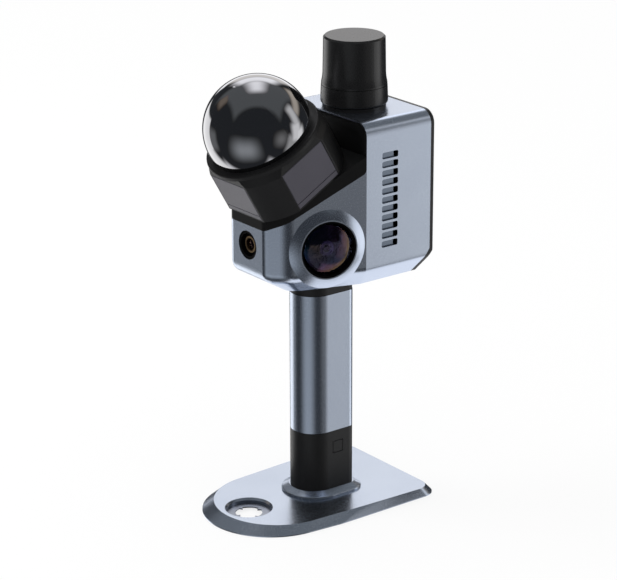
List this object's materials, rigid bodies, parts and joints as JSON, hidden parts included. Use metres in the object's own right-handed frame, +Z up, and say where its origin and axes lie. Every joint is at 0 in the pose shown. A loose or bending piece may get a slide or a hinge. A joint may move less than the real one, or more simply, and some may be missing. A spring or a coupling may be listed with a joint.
{
  "type": "hand-held mapping scanner",
  "caption": "Hand-held mapping scanner: tilted domed lidar, side and front cameras and an antenna on a metal head, with a battery grip standing on a bevelled base plate.",
  "frame": {"origin": "on the floor, at the middle of the base plate's bounding box", "axes": "+Z up along the grip, -Y towards the lidar and the front camera, +X towards the latch button"},
  "size_m": [0.088, 0.136, 0.2831],
  "materials": {
    "anodised_metal": "bead-blasted and anodised blue-grey, satin",
    "black_plastic": "fine-textured black moulding",
    "lidar_metal": "black anodised, satin",
    "lidar_panel": "smooth dark grey coat",
    "dome_plastic": "polished infrared-passing black",
    "rubber": "matt black",
    "steel": "machined",
    "brass": "gold flash",
    "bronze_ring": "satin bronze",
    "lens_glass": "coated",
    "board": "green circuit board",
    "cell_wrap": "shrink-wrapped steel can",
    "heat_metal": "plain extruded",
    "light_guide": "frosted light guide",
    "mirror_face": "gold-free first-surface mirror",
    "target_metal": "etched points",
    "retainer_metal": "grey anodised"
  },
  "bodies": {
    "base": {"base_plate": "anodised_metal", "base_pad": "rubber", "target_ring": "target_metal", "tripod_bush": "steel", "base_screws": "steel", "battery_foot": "black_plastic", "battery_case": "black_plastic", "battery_cells": "cell_wrap", "battery_contact_board": "board"},
    "latch": {"latch_button": "black_plastic"},
    "record": {"record_button": "black_plastic"},
    "lidar_rotor": {"lidar_spindle": "steel", "lidar_mirror": "mirror_face"},
    "fan": {"fan_rotor": "black_plastic"},
    "antenna": {"antenna_base": "black_plastic", "antenna_element": "brass", "antenna_cap": "black_plastic"},
    "lock_ring": {"antenna_lock_ring": "black_plastic"},
    "flap": {"port_flap": "rubber"},
    "scanner": {"handle_tube": "anodised_metal", "handle_neck": "black_plastic", "contact_block": "black_plastic", "contact_pins": "brass", "neck_screws": "steel", "record_switch": "board", "status_light": "light_guide", "head_shell": "anodised_metal", "rear_cover": "black_plastic", "rear_seal": "rubber", "rear_cover_screws": "steel", "lidar_cradle": "black_plastic", "lidar_screws": "steel", "lidar_base": "lidar_metal", "lidar_panels": "lidar_panel", "lidar_ring": "lidar_metal", "lidar_dome": "dome_plastic", "lidar_motor": "lidar_metal", "lidar_bearing": "steel", "right_camera_barrel": "black_plastic", "left_camera_barrel": "black_plastic", "right_camera_front_lens": "lens_glass", "left_camera_front_lens": "lens_glass", "right_camera_inner_lens": "lens_glass", "left_camera_inner_lens": "lens_glass", "right_camera_retainer": "retainer_metal", "left_camera_retainer": "retainer_metal", "right_camera_board": "board", "left_camera_board": "board", "front_camera_barrel": "black_plastic", "front_camera_ring": "bronze_ring", "front_camera_lens": "lens_glass", "front_camera_board": "board", "main_board": "board", "board_screws": "steel", "heat_sink": "heat_metal", "fan_frame": "black_plastic", "power_lead": "rubber", "usb_port": "steel", "flap_hinge_pin": "steel", "antenna_socket": "black_plastic"}
  },
  "joints": [
    {"name": "battery_slide", "type": "slide", "parent": "base", "child": "scanner", "axis": [0, 0, 1], "range_m": [0, 0.075]},
    {"name": "latch_press", "type": "slide", "parent": "base", "child": "latch", "axis": [-1, 0, 0], "range_m": [0, 0.001], "stiffness_N_per_m": 400},
    {"name": "record_press", "type": "slide", "parent": "scanner", "child": "record", "axis": [0, -1, 0], "range_m": [0, 0.0008], "stiffness_N_per_m": 600},
    {"name": "lidar_spin", "type": "hinge", "parent": "scanner", "child": "lidar_rotor", "pos_m": [0, -0.01435, 0.2049], "axis": [0, -0.5, 0.866], "continuous": true},
    {"name": "fan_spin", "type": "hinge", "parent": "scanner", "child": "fan", "pos_m": [0.021, 0.0387, 0.194], "axis": [1, 0, 0], "continuous": true},
    {"name": "antenna_pull", "type": "slide", "parent": "scanner", "child": "antenna", "axis": [0, 0, 1], "range_m": [0, 0.03]},
    {"name": "lock_ring_turn", "type": "hinge", "parent": "antenna", "child": "lock_ring", "pos_m": [0, 0.0362, 0.25], "axis": [0, 0, 1], "continuous": true},
    {"name": "port_flap_swing", "type": "hinge", "parent": "scanner", "child": "flap", "pos_m": [0, 0.06485, 0.1832], "axis": [1, 0, 0], "range_deg": [0, 95]}
  ]
}
